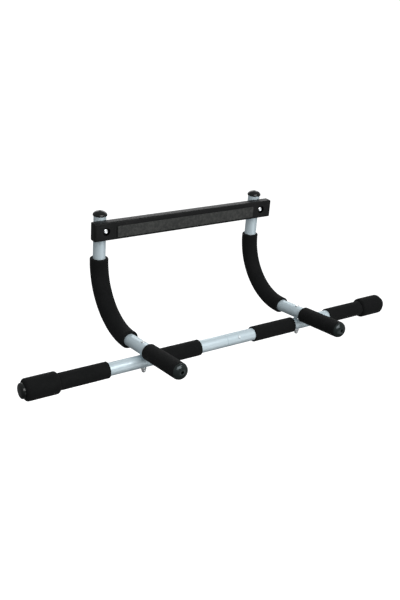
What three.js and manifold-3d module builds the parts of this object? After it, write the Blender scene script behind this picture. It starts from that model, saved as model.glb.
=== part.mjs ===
// A doorway pull-up bar: a long bar across the door, two bent arms that pass under the head of the
// door frame, and a crossbeam that rests on the trim on the far side.
//
// Millimetres, +Z up, as it hangs in use. X runs along the bar, -Y points at the user. The origin is
// the middle of the crossbeam's underside, which rests on the door trim.
import * as THREE from 'three';
import { mergeVertices } from 'three/addons/utils/BufferGeometryUtils.js';
import Module from 'manifold-3d';

const wasm = await Module();
wasm.setup();

// ---------------------------------------------------------------- driving dimensions

const GAP = 0.3;                  // air between pieces that touch on the real object
const TUBE_SIDES = 20;            // facets round a tube
const BOLT_SIDES = 12;
const HEAD_SIDES = 18;            // bolt heads and the domes of the nuts
const RECESS_SIDES = 24;
const COPE_SIDES = 48;            // cuts that a tube nests in

// Long bar, in two equal halves that meet in the middle
const BAR_OVERALL = 940;          // over the end caps
const BAR_R = 13.6;
const BAR_WALL = 1.5;
const BAR_CAP = { r: 15.8, rim: 2.4, head: 9 };
const JOINT_SLEEVE_LENGTH = 170;
const JOINT_SLEEVE_WALL = 1.5;

// Spring button that locks the halves on the sleeve
const BUTTON_X = 30;
const BUTTON_ABOVE_FRONT_DEG = 35;
const BUTTON_R = 3;
const BUTTON_PROUD = 3;           // how far the dome stands out of the tube
const BUTTON_DOME = 1.8;
const BUTTON_FLANGE = { r: 4.2, from: 7.6, to: 8.6 };
const SPRING = { halfWidth: 2.5, halfThickness: 0.4, steps: 20 };
const SPRING_LINE = [[-20, -8.9], [22, -8.9], [38, -5.9], [22, -2.9], [-4, 1.8]];

// Foam on the long bar, as distances from its middle
const CENTRE_FOAM = { left: [68.5, 178], right: [74.7, 187], r: 17.1, edge: 1 };
const OUTER_FOAM = { left: 285.2, right: 293, r: 17.1, edge: 1 };
const JAMB_PAD = { left: 392, right: 396.5, to: 460.9, r: 22.4, edge: 6 };

// Bent arms, the same tube as the bar
const ARM_SPACING = 405.6;
const ARM_R = 13.6;
const ARM_WALL = 1.5;
const ARM_Y = 21.6;               // the upright run's axis, behind the crossbeam's middle
const ARM_TOP_Z = 47;
const BEND_TOP_Z = -53;
const BEND_R = 127.4;
const HANDLE_RISE_DEG = 6.8;      // the handles climb towards the user by this much
const CROSSING_TO_BEND = 57.8;
const HANDLE_REACH = 138.3;       // from the crossing to the front end of the tube
const STACK_HEIGHT = 27.8;        // from the bar's axis up to the arm's axis at the crossing

// Foam on the arms, as distances along the arm from the crossing, towards the beam
const HANDLE_FOAM = { from: -138, to: -23, r: 17.3, edge: 1.5 };
const ARM_FOAM = { from: 53.5, to: 277.2, left: 20, right: 18.5 };

// End caps of the arms
const CAP_PLUG_LENGTH = 16;
const HANDLE_CAP = { r: 16.4, rim: 1.6, length: 9.3, holeR: 3.4, holeDepth: 11 };
const TOP_CAP = { r: 15.4, rim: 1.2, length: 10.6, nippleR: 3.5, nippleHeight: 1 };

// Crossbeam, 20 by 40 mm box tube
const BEAM_LENGTH = 460;          // over the end plugs
const BEAM_DEPTH = 20;
const BEAM_HEIGHT = 40;
const BEAM_WALL = 1.5;
const BEAM_CORNER_R = 3;
const PLUG = { head: 4, insert: 8, bevel: 1.6, cornerR: 2, insertCornerR: 1 };
const PAD = { length: 356, height: 24.6, thickness: 3, middleZ: 17.8, cornerR: 2 };

// M6 fasteners
const BOLT_R = 3;
const HOLE_R = 3.4;
const BOLT_PAST_SEAT = 8;         // how far a shank goes into its nut
const CROSSING_HEAD = { r: 4.8, height: 1.8 };
const BEAM_HEAD = { r: 5.8, height: 3.2 };
const HEAD_EDGE = 0.25;           // upright edge of a head, as a share of its height
const SOCKET = { r: 0.42, depth: 0.55 };  // shares of a head's radius and height
const BEAM_HEAD_SUNK = 5;
const BEAM_RECESS_R = 8.5;
const CAP_NUT = { flats: 10, hexHeight: 5.2, height: 12, domeR: 4.75, domeSunk: 1, boreDepth: 8 };
const SADDLE_R = 7;

// ---------------------------------------------------------------- derived places

const HALF_BAR = BAR_OVERALL / 2 - BAR_CAP.head;
const ARM_X = ARM_SPACING / 2;
const RISE = THREE.MathUtils.degToRad(HANDLE_RISE_DEG);
const BEND_ANGLE = Math.PI / 2 + RISE;
const BEND_CENTRE = { y: ARM_Y - BEND_R, z: BEND_TOP_Z };
const BEND_END_S = CROSSING_TO_BEND + BEND_R * BEND_ANGLE;
const ARM_TOP_S = BEND_END_S + ARM_TOP_Z - BEND_TOP_Z;
const BEND_STEPS = 10;
const SIDES = [['left', -1], ['right', 1]];

// The point of an arm's centre line at distance s from the crossing, in the arm's own plane.
function armPoint(s) {
  if (s >= BEND_END_S) return new THREE.Vector3(0, ARM_Y, BEND_TOP_Z + s - BEND_END_S);
  const turn = Math.min((BEND_END_S - s) / BEND_R, BEND_ANGLE);
  const straight = Math.min(s - CROSSING_TO_BEND, 0);
  return new THREE.Vector3(
    0,
    BEND_CENTRE.y + BEND_R * Math.cos(turn) + straight * Math.cos(RISE),
    BEND_CENTRE.z - BEND_R * Math.sin(turn) - straight * Math.sin(RISE),
  );
}

function armTangent(s) {
  const turn = THREE.MathUtils.clamp((BEND_END_S - s) / BEND_R, 0, BEND_ANGLE);
  return new THREE.Vector3(0, Math.sin(turn), Math.cos(turn));
}

const CROSSING = armPoint(0);
const BAR_AXIS = {
  y: CROSSING.y - STACK_HEIGHT * Math.sin(RISE),
  z: CROSSING.z - STACK_HEIGHT * Math.cos(RISE),
};

// ---------------------------------------------------------------- materials

const material = (color, roughness, metalness = 0) =>
  new THREE.MeshStandardMaterial({ color, roughness, metalness });
const silverPaint = () => material(0xb9c4c9, 0.35, 0.6);
const blackPaint = () => material(0x242526, 0.45, 0.2);
const zinc = () => material(0xd4d8da, 0.3, 0.9);
const foam = () => material(0x1c1d1e, 0.95);
const rubber = () => material(0x3f4140, 0.85);
const gloss = () => material(0x141516, 0.2);
const plastic = () => material(0x1d1e1f, 0.45);

// ---------------------------------------------------------------- shapes

const v2 = (x, y) => new THREE.Vector2(x, y);

// A solid of revolution about Z, from [radius, height] points that run from the bottom up.
function turned(profile, sides = TUBE_SIDES) {
  return new THREE.LatheGeometry(profile.map(([r, z]) => v2(r, z)), sides).rotateX(Math.PI / 2);
}

// Points of a rounded corner of radius e, from angle a0 to a1 in degrees round (r, z).
function corner(r, z, e, a0, a1, steps = 2) {
  return Array.from({ length: steps + 1 }, (_, i) => {
    const a = THREE.MathUtils.degToRad(a0 + ((a1 - a0) * i) / steps);
    return [r + e * Math.cos(a), z + e * Math.sin(a)];
  });
}

// A quarter of an ellipse from (inner + width, z) up to (inner, z + height).
function quarter(inner, width, z, height, steps = 4) {
  const points = Array.from({ length: steps + 1 }, (_, i) => {
    const a = (i / steps) * (Math.PI / 2);
    return [inner + width * Math.cos(a), z + height * Math.sin(a)];
  });
  points[steps][0] = inner;
  return points;
}

// A tube from z = 0 to its length, its outer rims rounded by `edge`.
function sleeve(rOut, rIn, length, edge = 0) {
  const outer = edge
    ? [...corner(rOut - edge, edge, edge, -90, 0), ...corner(rOut - edge, length - edge, edge, 0, 90)]
    : [[rOut, 0], [rOut, length]];
  return turned([[rIn, 0], ...outer, [rIn, length], [rIn, 0]]);
}

// A plain round bar along Z from z = 0.
function rod(r, length, sides = BOLT_SIDES) {
  return turned([[0, 0], [r, 0], [r, length], [0, length]], sides);
}

// Turns a piece made along Z to lie along X.
const alongX = (geometry) => geometry.rotateY(Math.PI / 2);

// A ring-shaped section of a round tube.
function ringShape(rOut, rIn) {
  const shape = new THREE.Shape().absarc(0, 0, rOut, 0, 2 * Math.PI);
  shape.holes.push(new THREE.Path().absarc(0, 0, rIn, 0, 2 * Math.PI, true));
  return shape;
}

function roundedRectangle(width, height, r, Outline = THREE.Shape) {
  const x = width / 2;
  const y = height / 2;
  return new Outline()
    .moveTo(-x + r, -y)
    .lineTo(x - r, -y).absarc(x - r, -y + r, r, -Math.PI / 2, 0)
    .lineTo(x, y - r).absarc(x - r, y - r, r, 0, Math.PI / 2)
    .lineTo(-x + r, y).absarc(-x + r, y - r, r, Math.PI / 2, Math.PI)
    .lineTo(-x, -y + r).absarc(-x + r, -y + r, r, Math.PI, 1.5 * Math.PI);
}

// A slab of an outline in X and Y, from z = 0 up.
function slab(shape, thickness, curveSegments = 3) {
  return new THREE.ExtrudeGeometry(shape, { depth: thickness, bevelEnabled: false, curveSegments });
}

// The stretch of the arm's centre line between two distances, stepped only where it bends.
class ArmPath extends THREE.Curve {
  constructor(from, to) {
    super();
    const bends = Array.from({ length: BEND_STEPS + 1 }, (_, i) =>
      THREE.MathUtils.lerp(CROSSING_TO_BEND, BEND_END_S, i / BEND_STEPS));
    this.stations = [from, ...bends.filter((s) => s > from && s < to), to];
    this.steps = this.stations.length - 1;
  }
  station(u) {
    return this.stations[Math.round(u * this.steps)];
  }
  getPointAt(u) {
    return armPoint(this.station(u));
  }
  getTangentAt(u) {
    return armTangent(this.station(u));
  }
}

function bentTube(rOut, rIn, from, to) {
  const path = new ArmPath(from, to);
  return new THREE.ExtrudeGeometry(ringShape(rOut, rIn), {
    steps: path.steps, extrudePath: path, bevelEnabled: false, curveSegments: TUBE_SIDES / 2,
  });
}

// ---------------------------------------------------------------- joining and cutting

function solidOf(geometry) {
  const plain = geometry.clone();
  plain.deleteAttribute('normal');
  plain.deleteAttribute('uv');
  const merged = mergeVertices(plain, 1e-4);
  return new wasm.Manifold(new wasm.Mesh({
    numProp: 3,
    vertProperties: merged.attributes.position.array,
    triVerts: new Uint32Array(merged.index.array),
  }));
}

function geometryOf(solid) {
  const mesh = solid.getMesh();
  const geometry = new THREE.BufferGeometry();
  geometry.setAttribute('position', new THREE.BufferAttribute(mesh.vertProperties, 3));
  geometry.setIndex(new THREE.BufferAttribute(mesh.triVerts, 1));
  const faceted = geometry.toNonIndexed();
  faceted.computeVertexNormals();
  return faceted;
}

function cut(base, ...tools) {
  return geometryOf(tools.reduce((left, tool) => left.subtract(solidOf(tool)), solidOf(base)));
}

function join(first, ...others) {
  return geometryOf(others.reduce((sum, other) => sum.add(solidOf(other)), solidOf(first)));
}

// ---------------------------------------------------------------- the assembly

const root = new THREE.Group();

function part(parent, name, geometry, look, position = [0, 0, 0]) {
  const mesh = new THREE.Mesh(geometry, look);
  mesh.name = name;
  mesh.position.set(...position);
  parent.add(mesh);
  return mesh;
}

function group(parent, position, rotationX = 0, rotationY = 0) {
  const made = new THREE.Group();
  made.position.set(...position);
  made.rotation.set(rotationX, rotationY, 0);
  parent.add(made);
  return made;
}

// The bar's own frame: Z points up from the bar to the arms, so it leans by the handles' rise.
const barFrame = group(root, [0, BAR_AXIS.y, BAR_AXIS.z], -RISE);
const crossHole = (x) => rod(HOLE_R, 4 * BAR_R).translate(x, 0, -2 * BAR_R);

// A hole for the spring button, from the bar's axis out, in the bar's frame.
const BUTTON_TILT = Math.PI / 2 - THREE.MathUtils.degToRad(BUTTON_ABOVE_FRONT_DEG) + RISE;
const buttonHole = () => rod(BUTTON_R + GAP, 2 * BAR_R).rotateX(BUTTON_TILT).translate(BUTTON_X, 0, 0);

function barHalf(sign) {
  const length = HALF_BAR - GAP / 2;
  const tube = alongX(sleeve(BAR_R, BAR_R - BAR_WALL, length));
  tube.translate(sign > 0 ? GAP / 2 : -HALF_BAR, 0, 0);
  return sign > 0 ? cut(tube, crossHole(ARM_X), buttonHole()) : cut(tube, crossHole(-ARM_X));
}

const SLEEVE_R = BAR_R - BAR_WALL - GAP;

function jointSleeve() {
  const tube = alongX(sleeve(SLEEVE_R, SLEEVE_R - JOINT_SLEEVE_WALL, JOINT_SLEEVE_LENGTH));
  tube.translate(-JOINT_SLEEVE_LENGTH / 2, 0, 0);
  return cut(tube, buttonHole());
}

// The button, along Z from the bar's axis: a flange inside the sleeve, a stem and a domed tip.
function snapButton() {
  const { r, from, to } = BUTTON_FLANGE;
  const shoulder = BAR_R + BUTTON_PROUD - BUTTON_DOME;
  return turned(
    [[0, from], [r, from], [r, to], [BUTTON_R, to], ...quarter(0, BUTTON_R, shoulder, BUTTON_DOME)],
    BOLT_SIDES,
  );
}

// The button's leaf spring, folded back on itself inside the sleeve.
function buttonSpring() {
  const line = new THREE.CatmullRomCurve3(
    SPRING_LINE.map(([fromButton, height]) => new THREE.Vector3(BUTTON_X + fromButton, height, 0)));
  const { halfWidth, halfThickness, steps } = SPRING;
  const face = (offset) => Array.from({ length: steps + 1 }, (_, i) => {
    const at = line.getPointAt(i / steps);
    const along = line.getTangentAt(i / steps);
    return v2(at.x - along.y * offset, at.y + along.x * offset);
  });
  const strip = new THREE.Shape([...face(halfThickness), ...face(-halfThickness).reverse()]);
  return slab(strip, 2 * halfWidth).translate(0, 0, -halfWidth).rotateX(Math.PI / 2);
}

for (const [side, sign] of SIDES) part(barFrame, `bar_tube_${side}`, barHalf(sign), silverPaint());
part(barFrame, 'joint_sleeve', jointSleeve(), zinc());
const buttonFrame = group(barFrame, [0, 0, 0], BUTTON_TILT);
part(buttonFrame, 'snap_button', snapButton(), zinc(), [BUTTON_X, 0, 0]);
part(buttonFrame, 'button_spring', buttonSpring(), zinc());

// Foam and end caps of the long bar. Each side group's X points outwards.
function foamOnBar(from, to, { r, edge }) {
  return alongX(sleeve(r, BAR_R + GAP, to - from, edge)).translate(from, 0, 0);
}

// A domed cap along Z: a plug that goes down into the tube, a rim, and a head over it.
function domedCap(plugR, { r, rim }, height, middle = [], middleR = 0) {
  return turned([
    [0, -CAP_PLUG_LENGTH], [plugR, -CAP_PLUG_LENGTH], [plugR, 0], [r, 0],
    ...quarter(middleR, r - middleR, rim, height - rim), ...middle,
  ]);
}

for (const [side, sign] of SIDES) {
  const outwards = group(barFrame, [0, 0, 0], 0, sign > 0 ? 0 : Math.PI);
  const centreFoam = foamOnBar(...CENTRE_FOAM[side], CENTRE_FOAM);
  const outerFoam = foamOnBar(OUTER_FOAM[side], JAMB_PAD[side] - GAP, OUTER_FOAM);
  const cap = domedCap(SLEEVE_R, BAR_CAP, BAR_CAP.head - GAP);
  part(outwards, `centre_foam_${side}`, centreFoam, foam());
  part(outwards, `outer_foam_${side}`, outerFoam, foam());
  part(outwards, `jamb_pad_${side}`, foamOnBar(JAMB_PAD[side], JAMB_PAD.to, JAMB_PAD), foam());
  part(outwards, `bar_end_cap_${side}`, alongX(cap), gloss(), [HALF_BAR + GAP, 0, 0]);
}

// Arms, each in its own plane, with their foam, caps and bolts.
function armTube() {
  const tube = bentTube(ARM_R, ARM_R - ARM_WALL, -HANDLE_REACH, ARM_TOP_S);
  const crossing = rod(HOLE_R, 4 * ARM_R).translate(0, 0, -2 * ARM_R).rotateX(-RISE)
    .translate(0, CROSSING.y, CROSSING.z);
  const beam = rod(HOLE_R, 4 * ARM_R).translate(0, 0, -2 * ARM_R).rotateX(Math.PI / 2)
    .translate(0, ARM_Y, BEAM_HEIGHT / 2);
  return cut(tube, crossing, beam);
}

// A round-headed bolt along Z: the head's underside at z = 0, the shank below, a socket on top.
function roundHeadBolt(shank, { r, height }) {
  const socketR = r * SOCKET.r;
  const socketFloor = height * (1 - SOCKET.depth);
  const edge = height * HEAD_EDGE;
  return turned([
    [0, -shank], [BOLT_R, -shank], [BOLT_R, 0], [r, 0],
    ...quarter(socketR, r - socketR, edge, height - edge, 3),
    [socketR, socketFloor], [0, socketFloor],
  ], HEAD_SIDES);
}

// A cap nut along -Z: its seat at z = 0, hexagon then dome, with a blind bore for the bolt.
function capNut() {
  const { flats, hexHeight, height, domeR, domeSunk, boreDepth } = CAP_NUT;
  const cornerR = flats / Math.sqrt(3);
  const hexagon = new THREE.CylinderGeometry(cornerR, cornerR, hexHeight, 6)
    .rotateX(Math.PI / 2).translate(0, 0, -hexHeight / 2);
  const cheek = height - domeR - domeSunk;
  const dome = turned([[0, 0], [domeR, 0], ...quarter(0, domeR, cheek, domeR)], HEAD_SIDES)
    .rotateX(Math.PI).translate(0, 0, -domeSunk);
  return cut(join(hexagon, dome), rod(BOLT_R + GAP, 2 * boreDepth).translate(0, 0, -boreDepth));
}

// A small washer saddled to the bar below and to the arm above.
function saddleWasher() {
  const reach = 3 * SADDLE_R;
  const bar = alongX(rod(BAR_R + GAP, 2 * reach, COPE_SIDES)).translate(-reach, 0, 0);
  const arm = rod(ARM_R + GAP, 2 * reach, COPE_SIDES).rotateX(Math.PI / 2).translate(0, reach, STACK_HEIGHT);
  return cut(rod(SADDLE_R, STACK_HEIGHT), bar, arm, rod(HOLE_R, STACK_HEIGHT));
}

const BEAM_MIDDLE_Z = BEAM_HEIGHT / 2;
const BUSH_FRONT_Y = -BEAM_DEPTH / 2 + BEAM_HEAD_SUNK;
const NUT_SEAT = GAP + 0.1;
const ARM_PLUG_R = ARM_R - ARM_WALL - GAP;

// The handle cap's blind hole and the top cap's small raised middle
const HANDLE_CAP_FLOOR = HANDLE_CAP.length - HANDLE_CAP.holeDepth;
const HANDLE_CAP_HOLE = [[HANDLE_CAP.holeR, HANDLE_CAP_FLOOR], [0, HANDLE_CAP_FLOOR]];
const TOP_CAP_SHOULDER = TOP_CAP.length - TOP_CAP.nippleHeight;
const TOP_CAP_NIPPLE = quarter(0, TOP_CAP.nippleR, TOP_CAP_SHOULDER, TOP_CAP.nippleHeight, 2).slice(1);

for (const [side, sign] of SIDES) {
  const plane = group(root, [sign * ARM_X, 0, 0]);
  const armFoam = bentTube(ARM_FOAM[side], ARM_R + GAP, ARM_FOAM.from, ARM_FOAM.to);
  part(plane, `arm_tube_${side}`, armTube(), silverPaint());
  part(plane, `arm_foam_${side}`, armFoam, foam());

  // Down the handle: Z points at the user, along the tube.
  const handleEnd = armPoint(-HANDLE_REACH);
  const forward = group(plane, [0, handleEnd.y, handleEnd.z], Math.PI / 2 - RISE);
  const handleFoam = sleeve(HANDLE_FOAM.r, ARM_R + GAP, HANDLE_FOAM.to - HANDLE_FOAM.from, HANDLE_FOAM.edge);
  const handleCap = domedCap(ARM_PLUG_R, HANDLE_CAP, HANDLE_CAP.length, HANDLE_CAP_HOLE, HANDLE_CAP.holeR);
  const topCap = domedCap(ARM_PLUG_R, TOP_CAP, TOP_CAP_SHOULDER, TOP_CAP_NIPPLE, TOP_CAP.nippleR);
  part(forward, `handle_foam_${side}`, handleFoam, foam(), [0, 0, -HANDLE_REACH - HANDLE_FOAM.to]);
  part(forward, `handle_cap_${side}`, handleCap, gloss(), [0, 0, GAP]);
  part(plane, `arm_top_cap_${side}`, topCap, gloss(), [0, ARM_Y, ARM_TOP_Z + GAP]);

  // The crossing: bolt down through arm, saddle washer and bar.
  const onBar = group(plane, [0, BAR_AXIS.y, BAR_AXIS.z], -RISE);
  const seatOnArm = STACK_HEIGHT + ARM_R + GAP;
  const crossingBolt = roundHeadBolt(seatOnArm + BAR_R + BOLT_PAST_SEAT, CROSSING_HEAD);
  part(onBar, `crossing_bolt_${side}`, crossingBolt, zinc(), [0, 0, seatOnArm]);
  part(onBar, `saddle_washer_${side}`, saddleWasher(), zinc());
  part(onBar, `crossing_nut_${side}`, capNut(), zinc(), [0, 0, -BAR_R - NUT_SEAT]);

  // Through the beam: Z points at the user.
  const throughBeam = group(plane, [0, 0, BEAM_MIDDLE_Z], Math.PI / 2);
  const armBackZ = -ARM_Y - ARM_R;
  const bushLength = ARM_Y - ARM_R - GAP - BUSH_FRONT_Y;
  const bush = sleeve(BEAM_RECESS_R - GAP, HOLE_R, bushLength);
  const headZ = -BUSH_FRONT_Y + GAP;
  const beamBolt = roundHeadBolt(headZ - armBackZ + BOLT_PAST_SEAT, BEAM_HEAD);
  part(throughBeam, `beam_bush_${side}`, bush, plastic(), [0, 0, -BUSH_FRONT_Y - bushLength]);
  part(throughBeam, `beam_bolt_${side}`, beamBolt, zinc(), [0, 0, headZ]);
  part(throughBeam, `beam_nut_${side}`, capNut(), zinc(), [0, 0, armBackZ - NUT_SEAT]);
}

// Crossbeam: a rectangular tube, coped at the back for the arms and open in front for the bushes.
function crossbeam() {
  const section = roundedRectangle(BEAM_DEPTH, BEAM_HEIGHT, BEAM_CORNER_R);
  const inside = roundedRectangle(
    BEAM_DEPTH - 2 * BEAM_WALL, BEAM_HEIGHT - 2 * BEAM_WALL, BEAM_CORNER_R - BEAM_WALL, THREE.Path);
  section.holes.push(inside);
  const length = BEAM_LENGTH - 2 * (PLUG.head + GAP);
  const tube = slab(section, length, 4).rotateZ(Math.PI / 2);
  alongX(tube).translate(-length / 2, 0, 0);
  const tools = SIDES.flatMap(([, sign]) => [
    rod(ARM_R + GAP, 2 * BEAM_HEIGHT, COPE_SIDES).translate(sign * ARM_X, ARM_Y, -BEAM_HEIGHT),
    rod(BEAM_RECESS_R, BEAM_DEPTH, RECESS_SIDES).rotateX(Math.PI / 2).translate(sign * ARM_X, 0, 0),
  ]);
  return cut(tube, ...tools);
}

// An end plug: an insert inside the beam and a softly edged head, along Z.
function beamPlug() {
  const { head, insert, bevel, cornerR, insertCornerR } = PLUG;
  const wall = BEAM_WALL + GAP;
  const overlap = 0.5;
  const insertShape = roundedRectangle(BEAM_HEIGHT - 2 * wall, BEAM_DEPTH - 2 * wall, insertCornerR);
  const neck = slab(insertShape, insert + overlap).translate(0, 0, -insert);
  const face = roundedRectangle(BEAM_HEIGHT - 2 * bevel, BEAM_DEPTH - 2 * bevel, cornerR);
  const softHead = new THREE.ExtrudeGeometry(face, {
    depth: head - bevel, bevelEnabled: true, bevelThickness: bevel, bevelSize: bevel,
    bevelSegments: 3, curveSegments: 3,
  });
  const below = slab(roundedRectangle(2 * BEAM_HEIGHT, 2 * BEAM_HEIGHT, cornerR), BEAM_HEIGHT)
    .translate(0, 0, -BEAM_HEIGHT);
  return join(cut(softHead, below), neck);
}

const beamFrame = group(root, [0, 0, BEAM_MIDDLE_Z]);
part(beamFrame, 'crossbeam', crossbeam(), blackPaint());
for (const [side, sign] of SIDES) {
  const outwards = group(beamFrame, [0, 0, 0], 0, sign > 0 ? 0 : Math.PI);
  const plugAt = [BEAM_LENGTH / 2 - PLUG.head, 0, 0];
  part(outwards, `beam_end_plug_${side}`, alongX(beamPlug()), plastic(), plugAt);
}

// The soft strip that bears on the wall above the door.
const strip = slab(roundedRectangle(PAD.length, PAD.height, PAD.cornerR), PAD.thickness).rotateX(Math.PI / 2);
part(root, 'beam_pad', strip, rubber(), [0, -BEAM_DEPTH / 2 - GAP, PAD.middleZ]);

export default root;
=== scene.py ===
# The looks of the doorway pull-up bar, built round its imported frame. Metres, +Z up, as it hangs in use.
import math

import bmesh
import bpy
from mathutils import Euler, Matrix, Vector, noise

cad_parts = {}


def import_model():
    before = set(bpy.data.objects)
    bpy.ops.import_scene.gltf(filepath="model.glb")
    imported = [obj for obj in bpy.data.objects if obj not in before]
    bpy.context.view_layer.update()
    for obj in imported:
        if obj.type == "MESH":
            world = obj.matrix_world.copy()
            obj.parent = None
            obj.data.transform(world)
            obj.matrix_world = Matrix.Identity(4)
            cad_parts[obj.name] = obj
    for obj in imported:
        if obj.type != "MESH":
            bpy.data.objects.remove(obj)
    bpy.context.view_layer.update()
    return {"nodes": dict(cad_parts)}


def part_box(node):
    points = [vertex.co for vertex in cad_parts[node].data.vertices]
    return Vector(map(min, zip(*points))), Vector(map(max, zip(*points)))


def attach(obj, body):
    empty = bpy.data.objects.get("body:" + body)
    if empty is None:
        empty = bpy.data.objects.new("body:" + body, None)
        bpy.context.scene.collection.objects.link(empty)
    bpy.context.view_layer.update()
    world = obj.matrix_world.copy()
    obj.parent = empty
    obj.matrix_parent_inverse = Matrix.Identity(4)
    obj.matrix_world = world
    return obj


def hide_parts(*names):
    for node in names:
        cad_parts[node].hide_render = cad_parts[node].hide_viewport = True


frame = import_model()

MM = 0.001

# ------------------------------------------------------------------ sizes that the frame's boxes don't give

SIDES = (("left", -1), ("right", 1))
SEGMENTS = 72                       # round a tube

# Tubes. Distances along an arm are measured from its crossing with the bar, and grow towards its top.
RISE = math.radians(6.8)            # the handles climb towards the user
BAR_R = 13.6 * MM
ARM_R = 13.6 * MM
TUBE_WALL = 1.5 * MM
TUBE_EDGE = 0.3 * MM                # bevel of a cut end
STACK_HEIGHT = 27.8 * MM            # from the bar's axis up to the arms' at the crossing
BEND_R = 127.4 * MM
BEND_TOP_Z = -53 * MM
BEND_ANGLE = math.pi / 2 + RISE
BEND_STEPS = 48
CROSSING_TO_BEND = 57.8 * MM
BEND_END = CROSSING_TO_BEND + BEND_R * BEND_ANGLE
HANDLE_REACH = 138.3 * MM

# Foam. A seed sets where a sleeve's small lumps fall.
FOAM_GAP = 0.05 * MM                # round the tube
FOAM_STEP = 4 * MM                  # between the rings of a sleeve
FOAM_LUMPS = 0.16 * MM
THIN_FOAM_R, THIN_FOAM_EDGE = 17.2 * MM, 1 * MM
CENTRE_FOAM_SEED, OUTER_FOAM_SEED = 3.1, 7.3
JAMB_PAD_R, JAMB_PAD_EDGE, JAMB_PAD_SEED = 22.5 * MM, 6 * MM, 12.9
ARM_FOAM_R = {"left": 20.1 * MM, "right": 18.6 * MM}
ARM_FOAM_EDGE, ARM_FOAM_SEED = 2.2 * MM, 21.5
ARM_FOAM_FROM, ARM_FOAM_TO = 56 * MM, 277.2 * MM
ARM_FOAM_SLANT = 2.6 * MM           # its low end is cut a little aslant
HANDLE_FOAM_R, HANDLE_FOAM_EDGE, HANDLE_FOAM_SEED = 17.5 * MM, 1.2 * MM, 31.7
HANDLE_FOAM_FROM, HANDLE_FOAM_TO = -138.2 * MM, -22.8 * MM
HANDLE_FOAM_SLANT = 1.4 * MM        # its inner end is cut a little aslant
SLANT_FADE = 40 * MM                # a slanted end is square again this far along
CREASE_DEPTH, CREASE_WIDTH = 0.45 * MM, 1.7 * MM

# Caps. The nipple is a small raised middle, given by its radius and its height.
PLUG_GAP = 0.1 * MM                 # between a plug and the tube's inner wall
CAP_PLUG_DEPTH = 14 * MM
CAP_PLUG_TAPER = (0.6 * MM, 1 * MM)
CAP_HOLE_DEPTH, CAP_HOLE_LIP = 11 * MM, 0.5 * MM
BAR_END_CAP = {"head_r": 15.8 * MM, "rim": 2.4 * MM, "height": 9 * MM, "flatness": 1.5}
HANDLE_CAP = {"head_r": 16.5 * MM, "rim": 1.6 * MM, "height": 9.4 * MM, "flatness": 0.84, "hole_r": 3.4 * MM}
NIPPLE = (3.5 * MM, 1.1 * MM)
ARM_TOP_CAP = {"head_r": 15.5 * MM, "rim": 1.2 * MM, "height": 10.8 * MM, "flatness": 0.88, "nipple": NIPPLE}

# Fasteners
BOLT_R = 3 * MM
BOLT_TIP_CHAMFER = 0.5 * MM
CROSSING_BOLT = {"head_r": 4.8 * MM, "head_height": 1.9 * MM, "shank": 64 * MM}
BEAM_BOLT = {"head_r": 5.8 * MM, "head_height": 3.3 * MM, "shank": 46 * MM}
HEAD_EDGE = 0.35 * MM
HEAD_DOME_ANGLE = math.radians(65)
SOCKET_SHARE = 0.44                 # the socket's width as a share of the head's
HEAD_SUNK = 5 * MM                  # the beam bolts' heads, below the beam's face
HEAD_BEDDED, NUT_BEDDED = 0.1 * MM, 0.2 * MM
NUT_FLATS = 10 * MM
NUT_HEXAGON, NUT_HEIGHT = 5.2 * MM, 12 * MM
NUT_CHAMFER, NUT_SHOULDER = 0.9 * MM, 0.3 * MM
BUSH_BORE_R, BUSH_EDGE = BOLT_R + 0.4 * MM, 0.6 * MM

# Snap button, measured out from the bar's axis
BUTTON_ABOVE_FRONT = math.radians(35)
BUTTON_R = 3 * MM
BUTTON_HOLE_R = BUTTON_R + 0.3 * MM
BUTTON_TIP, BUTTON_DOME = BAR_R + 3 * MM, 1.8 * MM
FLANGE_R, FLANGE_FROM, FLANGE_TO = 4.6 * MM, 8.2 * MM, 9.2 * MM

# Crossbeam
SEAM = 0.3 * MM                     # the beam runs this far towards its plugs, to meet them
BEAM_CORNER_R, BEAM_EDGE = 3 * MM, 0.3 * MM
COPE_R = ARM_R + 0.25 * MM
RECESS_R = 8.5 * MM
PLUG_HEAD, PLUG_LENGTH, PLUG_DOME = 4 * MM, 11.5 * MM, 1.8 * MM
PAD_BED, PAD_EDGE, PAD_CORNER_R = 0.25 * MM, 0.8 * MM, 2 * MM


def middle(node):
    low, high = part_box(node)
    return (low + high) / 2


def span_x(node):
    """A node's lowest and highest X."""
    low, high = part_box(node)
    return low.x, high.x


def outer_end(node, sign):
    """How far from the middle a node of that side reaches."""
    low, high = span_x(node)
    return high if sign > 0 else -low


BAR_MIDDLE = Vector((0, middle("bar_tube_left").y, middle("bar_tube_left").z))
BAR_FRAME = Matrix.Translation(BAR_MIDDLE) @ Matrix.Rotation(-RISE, 4, "X")
ALONG_X = Matrix.Rotation(math.pi / 2, 4, "Y")
SECTION_ALONG_X = ALONG_X @ Matrix.Rotation(math.pi / 2, 4, "Z")
OUTWARDS = {"left": Matrix.Rotation(math.pi, 4, "Z"), "right": Matrix.Identity(4)}
BEAM_MIDDLE = middle("crossbeam")
BEAM_LOW, BEAM_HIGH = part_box("crossbeam")
BEAM_DEPTH = BEAM_HIGH.y - BEAM_LOW.y
BEAM_HEIGHT = BEAM_HIGH.z - BEAM_LOW.z
ARM_X = {side: middle(f"arm_tube_{side}").x for side, _ in SIDES}
ARM_Y = middle("arm_top_cap_left").y
ARM_TOP_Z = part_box("arm_tube_left")[1].z
ARM_TOP = BEND_END + ARM_TOP_Z - BEND_TOP_Z
BUTTON_TURN = Matrix.Rotation(math.pi / 2 - BUTTON_ABOVE_FRONT, 4, "X")
BUTTON_FRAME = Matrix.Translation((middle("snap_button").x, *BAR_MIDDLE.yz)) @ BUTTON_TURN


# ------------------------------------------------------------------ camera

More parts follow.
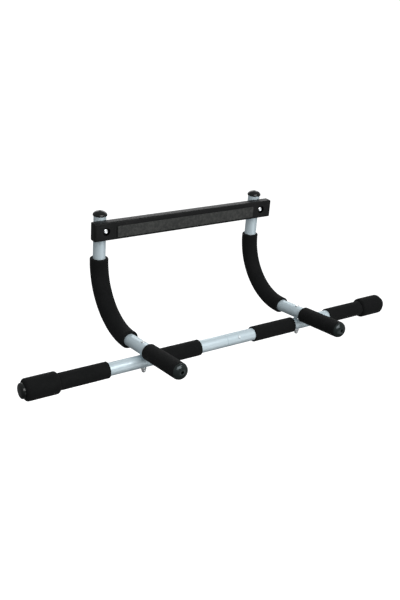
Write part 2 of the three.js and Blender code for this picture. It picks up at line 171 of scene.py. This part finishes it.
CAMERA_PLACE = Vector((-0.9552, -1.4212, 0.5964))
CAMERA_TURN = Euler([math.radians(a) for a in (65.689, -4.038, -33.589)])
CAMERA_LENS = 48.53
SENSOR_WIDTH = 36
CLIP_END = 100


def make_camera():
    data = bpy.data.cameras.new("camera")
    data.sensor_width = SENSOR_WIDTH
    data.lens = CAMERA_LENS
    data.clip_end = CLIP_END
    camera = bpy.data.objects.new("camera", data)
    bpy.context.scene.collection.objects.link(camera)
    camera.matrix_world = Matrix.LocRotScale(CAMERA_PLACE, CAMERA_TURN, None)
    bpy.context.scene.camera = camera


make_camera()


# ------------------------------------------------------------------ materials

class Nodes:
    """A small helper that builds a material's node tree."""

    def __init__(self, name):
        self.material = bpy.data.materials.new(name)
        self.material.use_nodes = True
        self.tree = self.material.node_tree
        self.shader = self.tree.nodes["Principled BSDF"]
        self.place = self.tree.nodes.new("ShaderNodeTexCoord").outputs["Object"]

    def node(self, kind, inputs=None, **settings):
        made = self.tree.nodes.new(kind)
        for key, value in settings.items():
            setattr(made, key, value)
        for key, value in (inputs or {}).items():
            if isinstance(value, bpy.types.NodeSocket):
                self.tree.links.new(value, made.inputs[key])
            else:
                made.inputs[key].default_value = value
        return made

    def noise(self, scale, detail=3.0, roughness=0.5, stretch=None):
        place = self.place
        if stretch:
            place = self.node("ShaderNodeMapping", {"Vector": place, "Scale": stretch}).outputs["Vector"]
        return self.node(
            "ShaderNodeTexNoise", {"Vector": place, "Scale": scale, "Detail": detail, "Roughness": roughness}
        ).outputs["Fac"]

    def cells(self, scale):
        return self.node("ShaderNodeTexVoronoi", {"Vector": self.place, "Scale": scale}).outputs["Distance"]

    def levels(self, value, low, high, to_low=0.0, to_high=1.0):
        return self.node(
            "ShaderNodeMapRange",
            {"Value": value, "From Min": low, "From Max": high, "To Min": to_low, "To Max": to_high},
        ).outputs["Result"]

    def times(self, a, b):
        return self.node("ShaderNodeMath", {0: a, 1: b}, operation="MULTIPLY").outputs["Value"]

    def plus(self, a, b):
        return self.node("ShaderNodeMath", {0: a, 1: b}, operation="ADD").outputs["Value"]

    def blend(self, factor, first, second):
        made = self.node("ShaderNodeMix", data_type="RGBA")
        self.tree.links.new(factor, made.inputs["Factor"])
        for socket, colour in ((made.inputs[6], first), (made.inputs[7], second)):
            if isinstance(colour, bpy.types.NodeSocket):
                self.tree.links.new(colour, socket)
            else:
                socket.default_value = (*colour, 1)
        return made.outputs[2]

    def bump(self, height, distance, strength=1.0, under=None):
        inputs = {"Height": height, "Distance": distance, "Strength": strength}
        if under:
            inputs["Normal"] = under
        return self.node("ShaderNodeBump", inputs).outputs["Normal"]

    def finish(self, colour, roughness, normal=None, **constants):
        for key, value in (("Base Color", colour), ("Roughness", roughness), ("Normal", normal)):
            if isinstance(value, bpy.types.NodeSocket):
                self.tree.links.new(value, self.shader.inputs[key])
            elif value is not None:
                self.shader.inputs[key].default_value = (*value, 1) if key == "Base Color" else value
        for key, value in constants.items():
            self.shader.inputs[key.replace("_", " ")].default_value = value
        return self.material


def silver_paint():
    n = Nodes("silver_paint")
    patches = n.levels(n.noise(14, 4), 0.35, 0.7)
    flake = n.levels(n.noise(2600, 1), 0.35, 0.65)
    base = n.blend(patches, (0.575, 0.685, 0.74), (0.625, 0.73, 0.78))
    colour = n.blend(n.times(flake, 0.35), base, (0.73, 0.83, 0.87))
    scuffs = n.levels(n.noise(90, 6, 0.65, (0.25, 1, 1)), 0.60, 0.72)
    colour = n.blend(n.times(scuffs, 0.25), colour, (0.40, 0.42, 0.43))
    rough = n.plus(n.levels(n.noise(60, 4), 0.3, 0.7, 0.35, 0.45), n.times(scuffs, 0.1))
    normal = n.bump(n.noise(420, 2), 0.00012, 0.35)
    return n.finish(colour, rough, normal, Metallic=0.3)


def foam():
    n = Nodes("black_foam")
    pores = n.cells(1500)
    lumps = n.noise(240, 3)
    dust = n.levels(n.noise(38, 5, 0.6), 0.45, 0.8)
    colour = n.blend(n.times(dust, 0.5), (0.0072, 0.0076, 0.0078), (0.0126, 0.0129, 0.0130))
    # The pores' pits, where the bump sinks, are coloured darker: painted shade in the pores.
    colour = n.blend(n.levels(pores, 0.0, 0.35), (0.0045, 0.0047, 0.0048), colour)
    normal = n.bump(lumps, 0.0005, 0.5, n.bump(pores, 0.0002, 0.6))
    rough = n.levels(lumps, 0.3, 0.7, 0.72, 0.9)
    return n.finish(colour, rough, normal, Sheen_Weight=0.03, Sheen_Roughness=0.5, Specular_IOR_Level=0.07)


def gloss_plastic():
    n = Nodes("gloss_black_plastic")
    smears = n.levels(n.noise(45, 5, 0.6), 0.4, 0.75)
    colour = n.blend(smears, (0.0085, 0.0115, 0.0105), (0.0125, 0.0165, 0.0155))
    rough = n.levels(smears, 0.0, 1.0, 0.16, 0.26)
    normal = n.bump(n.noise(300, 2), 0.00008, 0.3)
    return n.finish(colour, rough, normal, Specular_IOR_Level=0.42, Specular_Tint=(0.85, 0.95, 1, 1))


def cap_plastic():
    n = Nodes("black_cap_plastic")
    smears = n.levels(n.noise(50, 5, 0.6), 0.4, 0.75)
    colour = n.blend(smears, (0.0045, 0.0052, 0.005), (0.008, 0.0088, 0.0085))
    rough = n.levels(smears, 0.0, 1.0, 0.14, 0.24)
    normal = n.bump(n.noise(300, 2), 0.00008, 0.3)
    return n.finish(colour, rough, normal, Specular_IOR_Level=0.34)


def satin_plastic():
    n = Nodes("satin_black_plastic")
    grain = n.noise(1800, 2)
    patches = n.levels(n.noise(30, 4), 0.4, 0.7)
    colour = n.blend(patches, (0.005, 0.0051, 0.0052), (0.008, 0.0081, 0.0082))
    rough = n.levels(patches, 0.0, 1.0, 0.38, 0.5)
    return n.finish(colour, rough, n.bump(grain, 0.00006, 0.5), Specular_IOR_Level=0.14)


def black_paint():
    n = Nodes("black_powder_coat")
    peel = n.noise(700, 2)
    wear = n.levels(n.noise(70, 6, 0.7), 0.56, 0.74)
    patches = n.levels(n.noise(18, 4), 0.35, 0.7)
    colour = n.blend(patches, (0.0075, 0.0078, 0.008), (0.0105, 0.0108, 0.011))
    colour = n.blend(n.times(wear, 0.3), colour, (0.03, 0.03, 0.029))
    rough = n.levels(peel, 0.3, 0.7, 0.36, 0.5)
    return n.finish(colour, rough, n.bump(peel, 0.0002, 0.4), Specular_IOR_Level=0.14)


def rubber_strip():
    n = Nodes("grey_rubber_strip")
    weave = n.noise(900, 2)
    grain = n.noise(170, 4, 0.6)
    patches = n.levels(n.noise(26, 4), 0.35, 0.7)
    colour = n.blend(patches, (0.036, 0.037, 0.036), (0.046, 0.047, 0.045))
    colour = n.blend(n.levels(grain, 0.48, 0.68), colour, (0.060, 0.061, 0.058))
    colour = n.blend(n.levels(grain, 0.52, 0.32), colour, (0.028, 0.030, 0.029))
    rough = n.levels(grain, 0.3, 0.7, 0.7, 0.9)
    normal = n.bump(grain, 0.0004, 0.4, n.bump(weave, 0.0002, 0.5))
    return n.finish(colour, rough, normal, Specular_IOR_Level=0.25)


def button_steel():
    n = Nodes("button_steel")
    scuffs = n.levels(n.noise(420, 4, 0.6), 0.4, 0.7)
    colour = n.blend(scuffs, (0.88, 0.95, 0.98), (0.80, 0.88, 0.92))
    rough = n.levels(scuffs, 0.0, 1.0, 0.30, 0.42)
    return n.finish(colour, rough, n.bump(n.noise(900, 2), 0.00005, 0.4), Metallic=0.2)


def zinc():
    n = Nodes("zinc_plate")
    spangle = n.levels(n.cells(320), 0.0, 0.6)
    colour = n.blend(spangle, (0.74, 0.77, 0.79), (0.88, 0.90, 0.91))
    rough = n.levels(n.noise(500, 3), 0.3, 0.7, 0.20, 0.34)
    return n.finish(colour, rough, n.bump(n.noise(900, 2), 0.00005, 0.4), Metallic=1.0)


SILVER = silver_paint()
FOAM = foam()
GLOSS = gloss_plastic()
CAP_BLACK = cap_plastic()
SATIN = satin_plastic()
BLACK = black_paint()
STRIP = rubber_strip()
ZINC = zinc()
BUTTON_STEEL = button_steel()


# ------------------------------------------------------------------ pieces

def new_object(name, bm):
    bmesh.ops.recalc_face_normals(bm, faces=bm.faces)
    mesh = bpy.data.meshes.new(name)
    bm.to_mesh(mesh)
    bm.free()
    made = bpy.data.objects.new(name, mesh)
    bpy.context.scene.collection.objects.link(made)
    return made


def smooth(made, sharp=32):
    for polygon in made.data.polygons:
        polygon.use_smooth = True
    made.data.set_sharp_from_angle(angle=math.radians(sharp))
    return made


def settle(made, node, material, body="frame", sharp=32):
    """The piece stands for its CAD node, rides on its body and takes its material."""
    smooth(made, sharp)
    made.data.materials.clear()
    made.data.materials.append(material)
    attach(made, body)
    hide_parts(node)
    return made


def straight(matrix):
    """A path along a frame's Z axis."""
    return lambda s: matrix @ Matrix.Translation((0, 0, s))


def arm_path(x):
    """The centre line of the arm at x: s runs from the handle, past the crossing at 0, to the top."""

    def place(s):
        turn = min(max((BEND_END - s) / BEND_R, 0), BEND_ANGLE)
        ahead = min(s - CROSSING_TO_BEND, 0)
        above = max(s - BEND_END, 0)
        y = ARM_Y - BEND_R + BEND_R * math.cos(turn) + ahead * math.cos(RISE)
        z = BEND_TOP_Z - BEND_R * math.sin(turn) - ahead * math.sin(RISE) + above
        return Matrix.Translation((x, y, z)) @ Matrix.Rotation(-turn, 4, "X")

    return place


def skin(name, profile, path, closed=False, shape=None, slant=None, segments=SEGMENTS):
    """A round piece: profile is a list of (radius, distance along the path). A radius of 0 is a pole.
    shape(angle, radius, distance) can change a radius, and slant(angle, distance) moves it along."""
    bm = bmesh.new()
    rings = []
    for r, s in profile:
        at = path(s)
        if r <= 0:
            rings.append([bm.verts.new(at @ Vector((0, 0, 0)))])
            continue
        ring = []
        for i in range(segments):
            a = 2 * math.pi * i / segments
            r_here = shape(a, r, s) if shape else r
            here = path(s + slant(a, s)) if slant else at
            ring.append(bm.verts.new(here @ Vector((r_here * math.cos(a), r_here * math.sin(a), 0))))
        rings.append(ring)
    pairs = list(zip(rings, rings[1:]))
    if closed:
        pairs.append((rings[-1], rings[0]))
    for one, two in pairs:
        for i in range(segments):
            j = (i + 1) % segments
            if len(one) == 1:
                bm.faces.new((one[0], two[j], two[i]))
            elif len(two) == 1:
                bm.faces.new((one[i], one[j], two[0]))
            else:
                bm.faces.new((one[i], one[j], two[j], two[i]))
    return new_object(name, bm)


def arc(r, s, radius, start, end, steps=6):
    """Points of an arc round (r, s) in (radius, distance), with its angles in degrees."""
    angles = [math.radians(start + (end - start) * i / steps) for i in range(steps + 1)]
    return [(r + radius * math.cos(a), s + radius * math.sin(a)) for a in angles]


def quarter(steps, first=0):
    """The angles of a quarter turn in equal steps."""
    return [math.pi / 2 * i / steps for i in range(first, steps + 1)]


def between(low, high, step):
    """Evenly spaced stations strictly between two distances."""
    count = max(1, round((high - low) / step))
    return [low + (high - low) * i / count for i in range(1, count)]


def hexagonal(a, flats):
    """Radius at an angle of a hexagon of that size across its flats."""
    return flats / 2 / math.cos((a + math.pi / 6) % (math.pi / 3) - math.pi / 6)


def cut(made, cutters):
    """Takes the cutters out of a piece and removes them."""
    for cutter in cutters:
        modifier = made.modifiers.new("cut", "BOOLEAN")
        modifier.object = cutter
        modifier.operation = "DIFFERENCE"
        modifier.solver = "EXACT"
    bpy.context.view_layer.update()
    evaluated = made.evaluated_get(bpy.context.evaluated_depsgraph_get())
    mesh = bpy.data.meshes.new_from_object(evaluated)
    made.modifiers.clear()
    made.data = mesh
    for cutter in cutters:
        bpy.data.objects.remove(cutter)


def rod(r, length, matrix, segments):
    """A plain round cutter from the matrix's origin along its Z axis."""
    return skin("cutter", [(0, 0), (r, 0), (r, length), (0, length)], straight(matrix), segments=segments)


# ---- tubes

def tube_profile(r, start, end, stations=()):
    """The tube's wall as a closed outline, with a ring at each of the stations."""
    inner = r - TUBE_WALL
    return (
        [(inner, start), (r - TUBE_EDGE, start), (r, start + TUBE_EDGE)]
        + [(r, s) for s in stations]
        + [(r, end - TUBE_EDGE), (r - TUBE_EDGE, end), (inner, end)]
        + [(inner, s) for s in reversed(stations)]
    )


def bar_tube(side):
    node = f"bar_tube_{side}"
    start, end = span_x(node)
    made = skin(node + "_paint", tube_profile(BAR_R, start, end), straight(BAR_FRAME @ ALONG_X), closed=True)
    if side == "right":
        cut(made, [rod(BUTTON_HOLE_R, 2 * BAR_R, BUTTON_FRAME, 48)])
    return settle(made, node, SILVER)


def arm_tube(side):
    node = f"arm_tube_{side}"
    bend = [CROSSING_TO_BEND + BEND_R * BEND_ANGLE * i / BEND_STEPS for i in range(BEND_STEPS + 1)]
    profile = tube_profile(ARM_R, -HANDLE_REACH, ARM_TOP, bend)
    made = skin(node + "_paint", profile, arm_path(ARM_X[side]), closed=True)
    return settle(made, node, SILVER)


# ---- foam

def foam_profile(inner, outer, start, end, edge):
    """A sleeve whose outer rims are rounded by edge."""
    return (
        [(inner, start)]
        + arc(outer - edge, start + edge, edge, -90, 0)
        + [(outer, s) for s in between(start + edge, end - edge, FOAM_STEP)]
        + arc(outer - edge, end - edge, edge, 0, 90)
        + [(inner, end)]
        + [(inner, s) for s in reversed(between(start, end, FOAM_STEP))]
    )


def foam_lumps(seed, a, s):
    """The small unevenness of a soft sleeve at an angle and a distance: broad lumps with finer ones."""
    p = Vector((math.cos(a) * 0.9, math.sin(a) * 0.9, s * 55)) + Vector((seed, seed * 1.7, 0))
    return FOAM_LUMPS * noise.noise(p) + 0.4 * FOAM_LUMPS * noise.noise(p * 3.1)


def foam_sleeve(node, path, inner, outer, start, end, edge, seed, crease=None, slant=None):
    """A sleeve on a tube, uneven on its outside only. crease(angle, distance) is a depth pressed into it."""
    profile = foam_profile(inner, outer, start, end, edge)

    def shape(a, r, s):
        if r < inner + 0.2 * MM:
            return r
        return r + foam_lumps(seed, a, s) - (crease(a, s) if crease else 0)

    made = skin(node + "_sleeve", profile, path, closed=True, shape=shape, slant=slant)
    settle(made, node, FOAM, sharp=60)
    return made


def bar_foam(node, outer, edge, seed):
    start, end = span_x(node)
    foam_sleeve(node, straight(BAR_FRAME @ ALONG_X), BAR_R + FOAM_GAP, outer, start, end, edge, seed)


def arm_foam(side, seed):
    """The sleeve round the bend, creased a little on the inside of the bend."""

    def crease(a, s):
        inside = max(0.0, math.cos(a + math.pi / 2)) ** 2
        t = min(max((s - CROSSING_TO_BEND) / (BEND_END - CROSSING_TO_BEND), 0), 1)
        bend = math.sin(math.pi * t)
        wander = 2.2 * noise.noise(Vector((s * 70, seed, math.cos(a))))
        folds = 0.5 + 0.5 * math.sin(s / CREASE_WIDTH + wander)
        return CREASE_DEPTH * inside * bend * folds

    def slant(a, s):
        fade = max(0.0, 1 - (s - ARM_FOAM_FROM) / SLANT_FADE)
        return ARM_FOAM_SLANT * fade * math.sin(a)

    foam_sleeve(
        f"arm_foam_{side}", arm_path(ARM_X[side]), ARM_R + FOAM_GAP, ARM_FOAM_R[side],
        ARM_FOAM_FROM, ARM_FOAM_TO, ARM_FOAM_EDGE, seed, crease, slant,
    )


def handle_foam(side, seed):
    """The straight grip on the handle, whose inner end is cut aslant."""

    def slant(a, s):
        fade = max(0.0, 1 - (HANDLE_FOAM_TO - s) / SLANT_FADE)
        return HANDLE_FOAM_SLANT * fade * math.sin(a)

    foam_sleeve(
        f"handle_foam_{side}", arm_path(ARM_X[side]), ARM_R + FOAM_GAP, HANDLE_FOAM_R,
        HANDLE_FOAM_FROM, HANDLE_FOAM_TO, HANDLE_FOAM_EDGE, seed, slant=slant,
    )


# ---- caps

def cap(node, path, material, tube_r, head_r, rim, height, flatness, hole_r=0.0, nipple=(0.0, 0.0)):
    """A domed cap on a tube's end: a plug, a rolled rim, a dome, and a hole or a small raised middle.
    A flatness over 1 squares the dome's shoulders, and one under 1 draws them in."""
    nipple_r, nipple_height = nipple
    inner = hole_r or nipple_r
    dome_top = height - nipple_height
    edge = min(0.8 * MM, rim * 0.45)
    plug_r = tube_r - TUBE_WALL - PLUG_GAP
    taper_r, taper_length = CAP_PLUG_TAPER
    profile = [(0, -CAP_PLUG_DEPTH), (plug_r - taper_r, -CAP_PLUG_DEPTH)]
    profile += [(plug_r, taper_length - CAP_PLUG_DEPTH), (plug_r, 0)]
    profile += arc(head_r - edge, edge, edge, -90, 0, 4)
    for a in quarter(18, first=1):
        across, up = math.cos(a) ** (1 / flatness), math.sin(a) ** (1 / flatness)
        profile.append((inner + (head_r - inner) * across, rim + (dome_top - rim) * up))
    if hole_r:
        lip, floor_z = CAP_HOLE_LIP, dome_top - CAP_HOLE_DEPTH
        profile[-1] = (hole_r + lip, dome_top)
        profile += [(hole_r + lip * 0.3, dome_top - lip * 0.3), (hole_r, dome_top - lip)]
        profile += [(hole_r, floor_z), (0, floor_z)]
    else:
        if nipple_r:
            rise = [(math.cos(a), math.sin(a)) for a in quarter(6, first=1)]
            profile += [(nipple_r * across, dome_top + nipple_height * up) for across, up in rise]
        profile[-1] = (0, height)
    made = skin(node + "_moulding", profile, path)
    return settle(made, node, material, sharp=50)


def caps(side, sign):
    """The caps on the bar's end, on the handle and on the arm's top."""
    bar_end = Matrix.Translation((0, 0, outer_end(f"bar_tube_{side}", sign)))
    at_bar_end = BAR_FRAME @ OUTWARDS[side] @ ALONG_X @ bar_end
    cap(f"bar_end_cap_{side}", straight(at_bar_end), CAP_BLACK, BAR_R, **BAR_END_CAP)
    arm = arm_path(ARM_X[side])
    at_handle_end = arm(-HANDLE_REACH) @ Matrix.Rotation(math.pi, 4, "X")
    cap(f"handle_cap_{side}", straight(at_handle_end), GLOSS, ARM_R, **HANDLE_CAP)
    cap(f"arm_top_cap_{side}", straight(arm(ARM_TOP)), CAP_BLACK, ARM_R, **ARM_TOP_CAP)


# ---- fasteners

def button_bolt(node, frame_at, head_r, head_height, shank):
    """A round head over a shank, with a hexagon socket. The matrix's Z points out of the head."""
    socket = SOCKET_SHARE * head_r
    mouth = socket * 1.16 + 0.2 * MM    # just past the hexagon's corners
    chamfer = BOLT_TIP_CHAMFER
    profile = [(0, -shank), (BOLT_R - chamfer, -shank), (BOLT_R, chamfer - shank), (BOLT_R, 0)]
    profile += arc(head_r - HEAD_EDGE, HEAD_EDGE, HEAD_EDGE, -90, 0, 3)
    steps = 8
    for i in range(1, steps + 1):
        a = HEAD_DOME_ANGLE * i / steps
        share = math.sin(a) / math.sin(HEAD_DOME_ANGLE)
        profile.append((head_r * math.cos(a), HEAD_EDGE + (head_height - HEAD_EDGE) * share))
    profile += [(mouth, head_height), (socket, head_height - 0.3 * MM)]
    profile += [(socket, head_height * 0.4), (0, head_height * 0.35)]

    def shape(a, r, s):
        return hexagonal(a, 2 * r) if abs(r - socket) < 1e-6 else r

    made = skin(node + "_zinc", profile, straight(frame_at), shape=shape)
    return settle(made, node, ZINC, sharp=28)


def cap_nut(node, frame_at):
    """A domed cap nut. The matrix's Z points from its seat to its tip."""
    dome_r = NUT_FLATS / 2 - NUT_SHOULDER
    corner = NUT_FLATS / math.sqrt(3)
    profile = [(0, 0), (NUT_FLATS / 2 * 0.96, 0), (corner, NUT_CHAMFER), (corner, NUT_HEXAGON - NUT_CHAMFER)]
    profile += [(NUT_FLATS / 2, NUT_HEXAGON), (dome_r, NUT_HEXAGON + 0.05 * MM)]
    profile += arc(0, NUT_HEIGHT - dome_r, dome_r, 0, 90, 10)
    profile[-1] = (0, NUT_HEIGHT)

    def shape(a, r, s):
        return min(r, hexagonal(a, NUT_FLATS)) if r > dome_r + 0.1 * MM else r

    made = skin(node + "_zinc", profile, straight(frame_at), shape=shape)
    return settle(made, node, ZINC, sharp=28)


def beam_front(side, y=0.0):
    """A frame on the axis of a beam bolt, whose Z points out of the beam's front."""
    return Matrix.Translation((ARM_X[side], y, BEAM_MIDDLE.z)) @ Matrix.Rotation(math.pi / 2, 4, "X")


def fasteners(side):
    """The bolt through the arm and the bar, the one through the beam and the arm, and their nuts."""
    down = Matrix.Rotation(math.pi, 4, "X")
    crossing = BAR_FRAME @ Matrix.Translation((ARM_X[side], 0, 0))
    head_at = crossing @ Matrix.Translation((0, 0, STACK_HEIGHT + ARM_R - HEAD_BEDDED))
    nut_at = crossing @ Matrix.Translation((0, 0, NUT_BEDDED - BAR_R)) @ down
    button_bolt(f"crossing_bolt_{side}", head_at, **CROSSING_BOLT)
    cap_nut(f"crossing_nut_{side}", nut_at)
    head_at = beam_front(side) @ Matrix.Translation((0, 0, BEAM_DEPTH / 2 - HEAD_SUNK))
    nut_at = beam_front(side) @ Matrix.Translation((0, 0, NUT_BEDDED - ARM_Y - ARM_R)) @ down
    button_bolt(f"beam_bolt_{side}", head_at, **BEAM_BOLT)
    cap_nut(f"beam_nut_{side}", nut_at)


def beam_bush(side):
    """The black bush in the beam that the bolt's head sits on."""
    node = f"beam_bush_{side}"
    low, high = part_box(node)
    outer = (high.x - low.x) / 2
    length = high.y - low.y
    profile = [(BUSH_BORE_R, 0), (outer, 0)]
    profile += arc(outer - BUSH_EDGE, length - BUSH_EDGE, BUSH_EDGE, 0, 90)
    profile += [(BUSH_BORE_R, length)]
    made = skin(node + "_moulding", profile, straight(beam_front(side, high.y)), closed=True)
    return settle(made, node, SATIN)


def snap_button():
    """The domed tip of the spring button, on its stem and flange."""
    profile = [(0, FLANGE_FROM), (FLANGE_R, FLANGE_FROM), (FLANGE_R, FLANGE_TO), (BUTTON_R, FLANGE_TO)]
    for a in quarter(10):
        profile.append((BUTTON_R * math.cos(a), BUTTON_TIP - BUTTON_DOME * (1 - math.sin(a))))
    profile[-1] = (0, BUTTON_TIP)
    made = skin("snap_button_steel", profile, straight(BUTTON_FRAME), segments=48)
    return settle(made, "snap_button", BUTTON_STEEL, body="button", sharp=40)


# ---- crossbeam

def outline(width, height, r, steps=6):
    """Points round a rounded rectangle in X and Y."""
    points = []
    for k, (sx, sy) in enumerate(((1, 1), (-1, 1), (-1, -1), (1, -1))):
        cx, cy = sx * (width / 2 - r), sy * (height / 2 - r)
        for i in range(steps + 1):
            a = math.pi / 2 * (k + i / steps)
            points.append((cx + r * math.cos(a), cy + r * math.sin(a)))
    return points


def bar_of(name, width, height, r, profile, matrix, closed=False):
    """A piece with a rounded rectangular section: profile is a list of (inset, distance along Z)."""
    bm = bmesh.new()
    rings = []
    for inset, s in profile:
        ring = outline(width - 2 * inset, height - 2 * inset, max(r - inset, 0.25 * MM))
        rings.append([bm.verts.new(matrix @ Vector((x, y, s))) for x, y in ring])
    pairs = list(zip(rings, rings[1:]))
    if closed:
        pairs.append((rings[-1], rings[0]))
    else:
        bm.faces.new(rings[0])
        bm.faces.new(rings[-1])
    for one, two in pairs:
        for i in range(len(one)):
            j = (i + 1) % len(one)
            bm.faces.new((one[i], one[j], two[j], two[i]))
    return new_object(name, bm)


def crossbeam():
    """The outside of the box tube, coped for the arms behind and opened in front for the bolts' heads."""
    low, high = span_x("crossbeam")
    half = (high - low) / 2 + SEAM
    matrix = Matrix.Translation(BEAM_MIDDLE) @ SECTION_ALONG_X
    end = [(0, half - BEAM_EDGE), (BEAM_EDGE, half), (TUBE_WALL, half)]
    profile = [(inset, -s) for inset, s in reversed(end)] + end
    made = bar_of("crossbeam_paint", BEAM_DEPTH, BEAM_HEIGHT, BEAM_CORNER_R, profile, matrix, closed=True)
    cutters = []
    for side, _ in SIDES:
        upright = Matrix.Translation((ARM_X[side], ARM_Y, -BEAM_HEIGHT))
        cutters.append(rod(COPE_R, 3 * BEAM_HEIGHT, upright, 96))
        cutters.append(rod(RECESS_R, BEAM_DEPTH, beam_front(side), 64))
    cut(made, cutters)
    return settle(made, "crossbeam", BLACK)


def rounded_end(tip, edge, angles):
    """Points of (inset, distance) that round a bar's end over to its tip."""
    return [(edge * (1 - math.cos(a)), tip - edge * (1 - math.sin(a))) for a in angles]


def beam_plug(side, sign):
    """The moulded plug in the beam's end: an insert in the tube and a domed head outside it."""
    node = f"beam_end_plug_{side}"
    tip = outer_end(node, sign)
    matrix = Matrix.Translation((0, 0, BEAM_MIDDLE.z)) @ OUTWARDS[side] @ SECTION_ALONG_X
    insert = TUBE_WALL + PLUG_GAP
    profile = [(insert, tip - PLUG_LENGTH), (insert, tip - PLUG_HEAD), (0.1 * MM, tip - PLUG_HEAD)]
    profile += rounded_end(tip, PLUG_DOME, quarter(6))
    made = bar_of(node + "_moulding", BEAM_DEPTH, BEAM_HEIGHT, BEAM_CORNER_R, profile, matrix)
    return settle(made, node, SATIN)


def beam_pad():
    """The rubber strip, bedded on the beam's front."""
    low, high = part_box("beam_pad")
    centre = middle("beam_pad")
    back = high.y + PAD_BED
    matrix = Matrix.Translation((centre.x, back, centre.z)) @ Matrix.Rotation(math.pi / 2, 4, "X")
    thick = back - low.y
    profile = [(0, 0), (0, thick - PAD_EDGE)] + rounded_end(thick, PAD_EDGE, quarter(5, first=1))
    made = bar_of("beam_pad_strip", high.x - low.x, high.z - low.z, PAD_CORNER_R, profile, matrix)
    settle(made, "beam_pad", STRIP)
    return made


# ------------------------------------------------------------------ put together

for side, sign in SIDES:
    bar_tube(side)
    arm_tube(side)
    bar_foam(f"centre_foam_{side}", THIN_FOAM_R, THIN_FOAM_EDGE, CENTRE_FOAM_SEED + sign)
    bar_foam(f"outer_foam_{side}", THIN_FOAM_R, THIN_FOAM_EDGE, OUTER_FOAM_SEED + sign)
    bar_foam(f"jamb_pad_{side}", JAMB_PAD_R, JAMB_PAD_EDGE, JAMB_PAD_SEED + sign)
    arm_foam(side, ARM_FOAM_SEED + sign)
    handle_foam(side, HANDLE_FOAM_SEED + sign)
    fasteners(side)
    beam_bush(side)
    beam_plug(side, sign)
    caps(side, sign)

snap_button()
crossbeam()
beam_pad()

# CAD nodes whose own shape stays: they sit inside or between other pieces.
for name in ("joint_sleeve", "button_spring", "saddle_washer_left", "saddle_washer_right"):
    frame["nodes"][name].data.materials.clear()
    frame["nodes"][name].data.materials.append(ZINC)


# ------------------------------------------------------------------ floor and light

FLOOR_Z, FLOOR_REACH = -1.1, 40.0
BACKDROP_R = 44
PAPER_GLOW = 0.9
WORLD_COLOUR = (0.96, 0.99, 1, 1)
WORLD_FALL = {"From Min": -0.7, "From Max": 0.5, "To Min": 0.12, "To Max": 0.44}
# Each lamp's place, what it points at, its width and height, and its power in watts.
LIGHTS = {
    "key": ((-0.15, -1.95, 1.3), (0, -0.15, -0.1), (1.8, 1.3), 37),
    "back": ((0.9, 1.7, 0.65), (0, 0, 0.04), (1.8, 0.7), 8),
    "side": ((0.7, -1.3, 1.4), (0, -0.3, -0.16), (0.35, 0.35), 2.5),
    "bounce": ((0.7, -1.6, -0.65), (0, -0.3, -0.16), (1.4, 0.8), 3),
}


def staging(name, mesh):
    """A piece of the white studio, which is bright to the eye but doesn't light the object."""
    made = bpy.data.objects.new(name, mesh)
    bpy.context.scene.collection.objects.link(made)
    made.visible_diffuse = False
    made.visible_glossy = False
    n = Nodes(name + "_paper")
    mesh.materials.append(
        n.finish((0.5, 0.5, 0.5), 0.9, Emission_Color=(1, 1, 1, 1), Emission_Strength=PAPER_GLOW)
    )
    return made


def floor():
    mesh = bpy.data.meshes.new("floor")
    corners = [(x * FLOOR_REACH, y * FLOOR_REACH, FLOOR_Z) for x, y in ((-1, -1), (1, -1), (1, 1), (-1, 1))]
    mesh.from_pydata(corners, [], [(0, 1, 2, 3)])
    staging("floor", mesh)


def backdrop():
    bm = bmesh.new()
    bmesh.ops.create_uvsphere(bm, u_segments=48, v_segments=24, radius=BACKDROP_R)
    mesh = bpy.data.meshes.new("backdrop")
    bm.to_mesh(mesh)
    bm.free()
    made = staging("backdrop", mesh)
    made.visible_shadow = False


def area_light(name, place, target, size, power):
    data = bpy.data.lights.new(name, "AREA")
    data.shape = "RECTANGLE"
    data.size, data.size_y = size
    data.energy = power
    made = bpy.data.objects.new(name, data)
    made.location = place
    made.rotation_euler = (Vector(target) - Vector(place)).to_track_quat("-Z", "Y").to_euler()
    bpy.context.scene.collection.objects.link(made)


def world():
    """A pale surround whose brightness falls off downwards."""
    made = bpy.data.worlds.new("studio")
    made.use_nodes = True
    tree = made.node_tree
    background = tree.nodes["Background"]
    background.inputs["Color"].default_value = WORLD_COLOUR
    direction = tree.nodes.new("ShaderNodeTexCoord").outputs["Generated"]
    parts = tree.nodes.new("ShaderNodeSeparateXYZ")
    tree.links.new(direction, parts.inputs["Vector"])
    fall = tree.nodes.new("ShaderNodeMapRange")
    tree.links.new(parts.outputs["Z"], fall.inputs["Value"])
    for key, value in WORLD_FALL.items():
        fall.inputs[key].default_value = value
    tree.links.new(fall.outputs["Result"], background.inputs["Strength"])
    bpy.context.scene.world = made


floor()
backdrop()
world()
for name, light in LIGHTS.items():
    area_light(name, *light)
bpy.context.scene.view_settings.view_transform = "Standard"
